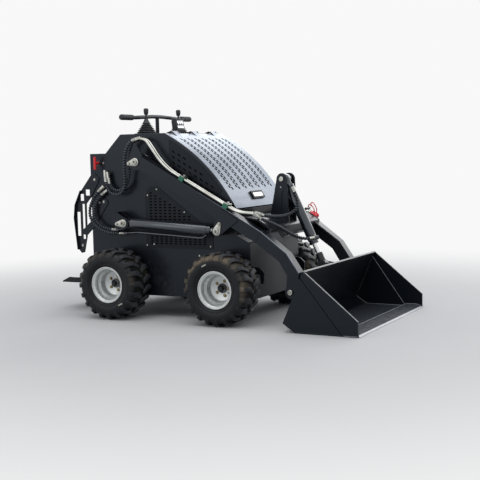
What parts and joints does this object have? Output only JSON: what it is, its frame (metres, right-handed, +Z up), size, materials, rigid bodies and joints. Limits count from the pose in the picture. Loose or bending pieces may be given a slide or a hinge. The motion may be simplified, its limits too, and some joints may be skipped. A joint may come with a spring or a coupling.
{
  "type": "compact stand-on skid steer loader",
  "caption": "Compact wheeled skid steer loader with radial lift arms, front bucket, curved perforated hood and rear stand-on platform.",
  "frame": {"origin": "on the ground, midway along the machine's length and on its centre line", "axes": "+X forward to the bucket, +Y to the operator's left, +Z up"},
  "size_m": [2.322, 1.188, 1.372],
  "materials": {
    "black_paint": "satin black paint",
    "hood_paint": "satin black paint, lighter in reflection",
    "tyre_rubber": "matt black rubber with dry dust",
    "white_rim": "off-white gloss paint",
    "zinc": "bright zinc plating",
    "chrome_rod": "ground and chromed",
    "hose_rubber": "matt black with a plastic spiral guard",
    "engine_iron": "plain casting",
    "red_plastic": "red moulding",
    "green_plastic": "green clamp halves",
    "grip_rubber": "matt black",
    "worn_steel": "scraped bare edge",
    "lamp_body": "black lamp housing"
  },
  "bodies": {
    "chassis": {"chassis_frame": "black_paint", "engine_block": "engine_iron", "side_covers": "black_paint", "side_screens": "black_paint", "leg_guards": "black_paint", "handlebar": "grip_rubber", "control_levers": "grip_rubber", "work_lamp": "lamp_body", "isolator_handle": "red_plastic", "hose_ports": "zinc", "wheel_motors": "black_paint", "arm_pivot_pins": "zinc", "lift_brackets": "black_paint", "platform_bracket": "black_paint", "hood_hinges": "black_paint", "arm_hose_inner_left": "hose_rubber", "arm_hose_inner_right": "hose_rubber", "arm_hose_outer_left": "hose_rubber", "arm_hose_outer_right": "hose_rubber", "lift_hose_outer_left": "hose_rubber", "lift_hose_outer_right": "hose_rubber", "lift_hose_inner_left": "hose_rubber", "lift_hose_inner_right": "hose_rubber"},
    "arms": {"loader_arms": "black_paint", "tilt_tower": "black_paint", "arm_pipes": "zinc", "pipe_clamps": "green_plastic", "coupler_bracket": "black_paint", "aux_couplers": "zinc", "coupler_caps": "red_plastic", "tilt_hose_upper": "hose_rubber", "tilt_hose_lower": "hose_rubber"},
    "bucket": {"bucket_shell": "black_paint", "cutting_edge": "worn_steel", "quick_attach": "black_paint"},
    "hood": {"hood_cover": "hood_paint", "hood_latch": "zinc"},
    "platform": {"operator_platform": "black_paint"},
    "tilt_barrel": {"tilt_barrel": "black_paint"},
    "tilt_rod": {"tilt_rod": "chrome_rod"},
    "lift_barrel_left": {"lift_barrel_left": "black_paint"},
    "lift_rod_left": {"lift_rod_left": "chrome_rod"},
    "lift_barrel_right": {"lift_barrel_right": "black_paint"},
    "lift_rod_right": {"lift_rod_right": "chrome_rod"},
    "wheel_rear_right_body": {"tyre_rear_right": "tyre_rubber", "wheel_rear_right": "white_rim"},
    "wheel_rear_left_body": {"tyre_rear_left": "tyre_rubber", "wheel_rear_left": "white_rim"},
    "wheel_front_right_body": {"tyre_front_right": "tyre_rubber", "wheel_front_right": "white_rim"},
    "wheel_front_left_body": {"tyre_front_left": "tyre_rubber", "wheel_front_left": "white_rim"}
  },
  "joints": [
    {"name": "arm_lift", "type": "hinge", "parent": "chassis", "child": "arms", "pos_m": [-0.417, 0, 1.018], "axis": [0, -1, 0], "range_deg": [0, 65], "deforming": ["arm_hose_inner_left", "arm_hose_inner_right", "arm_hose_outer_left", "arm_hose_outer_right"]},
    {"name": "bucket_tilt", "type": "hinge", "parent": "arms", "child": "bucket", "pos_m": [0.677, 0, 0.222], "axis": [0, 1, 0], "range_deg": [-20, 90]},
    {"name": "tilt_barrel_swing", "type": "hinge", "parent": "arms", "child": "tilt_barrel", "pos_m": [0.439, 0, 0.888], "axis": [0, 1, 0], "range_deg": [-3, 1], "deforming": ["tilt_hose_upper", "tilt_hose_lower"]},
    {"name": "tilt_rod_slide", "type": "slide", "parent": "tilt_barrel", "child": "tilt_rod", "axis": [0.4232, 0, -0.906], "range_m": [-0.05, 0.21]},
    {"name": "hood_opening", "type": "hinge", "parent": "chassis", "child": "hood", "pos_m": [-0.24, 0, 1.207], "axis": [0, -1, 0], "range_deg": [0, 60]},
    {"name": "platform_fold", "type": "hinge", "parent": "chassis", "child": "platform", "pos_m": [-0.895, 0, 0.203], "axis": [0, 1, 0], "range_deg": [0, 85]},
    {"name": "lift_barrel_swing_left", "type": "hinge", "parent": "chassis", "child": "lift_barrel_left", "pos_m": [-0.529, 0.415, 0.62], "axis": [0, -1, 0], "range_deg": [0, 48], "deforming": ["lift_hose_outer_left", "lift_hose_inner_left"]},
    {"name": "lift_rod_slide_left", "type": "slide", "parent": "lift_barrel_left", "child": "lift_rod_left", "axis": [0.9984, 0, -0.0566], "range_m": [0, 0.364]},
    {"name": "lift_barrel_swing_right", "type": "hinge", "parent": "chassis", "child": "lift_barrel_right", "pos_m": [-0.529, -0.415, 0.62], "axis": [0, -1, 0], "range_deg": [0, 48], "deforming": ["lift_hose_outer_right", "lift_hose_inner_right"]},
    {"name": "lift_rod_slide_right", "type": "slide", "parent": "lift_barrel_right", "child": "lift_rod_right", "axis": [0.9984, 0, -0.0566], "range_m": [0, 0.364]},
    {"name": "wheel_rear_right_roll", "type": "hinge", "parent": "chassis", "child": "wheel_rear_right_body", "pos_m": [-0.585, -0.485, 0.2285], "axis": [0, 1, 0], "continuous": true},
    {"name": "wheel_rear_left_roll", "type": "hinge", "parent": "chassis", "child": "wheel_rear_left_body", "pos_m": [-0.585, 0.485, 0.2285], "axis": [0, 1, 0], "continuous": true},
    {"name": "wheel_front_right_roll", "type": "hinge", "parent": "chassis", "child": "wheel_front_right_body", "pos_m": [0.215, -0.485, 0.2285], "axis": [0, 1, 0], "continuous": true},
    {"name": "wheel_front_left_roll", "type": "hinge", "parent": "chassis", "child": "wheel_front_left_body", "pos_m": [0.215, 0.485, 0.2285], "axis": [0, 1, 0], "continuous": true}
  ],
  "couplings": [
    {"joint": "tilt_barrel_swing", "follows": "bucket_tilt", "ratio": -0.027},
    {"joint": "tilt_rod_slide", "follows": "bucket_tilt", "m_per_rad": 0.10584},
    {"joint": "lift_barrel_swing_left", "follows": "arm_lift", "ratio": 0.73687},
    {"joint": "lift_rod_slide_left", "follows": "arm_lift", "m_per_rad": 0.3187},
    {"joint": "lift_barrel_swing_right", "follows": "arm_lift", "ratio": 0.73687},
    {"joint": "lift_rod_slide_right", "follows": "arm_lift", "m_per_rad": 0.3187}
  ]
}
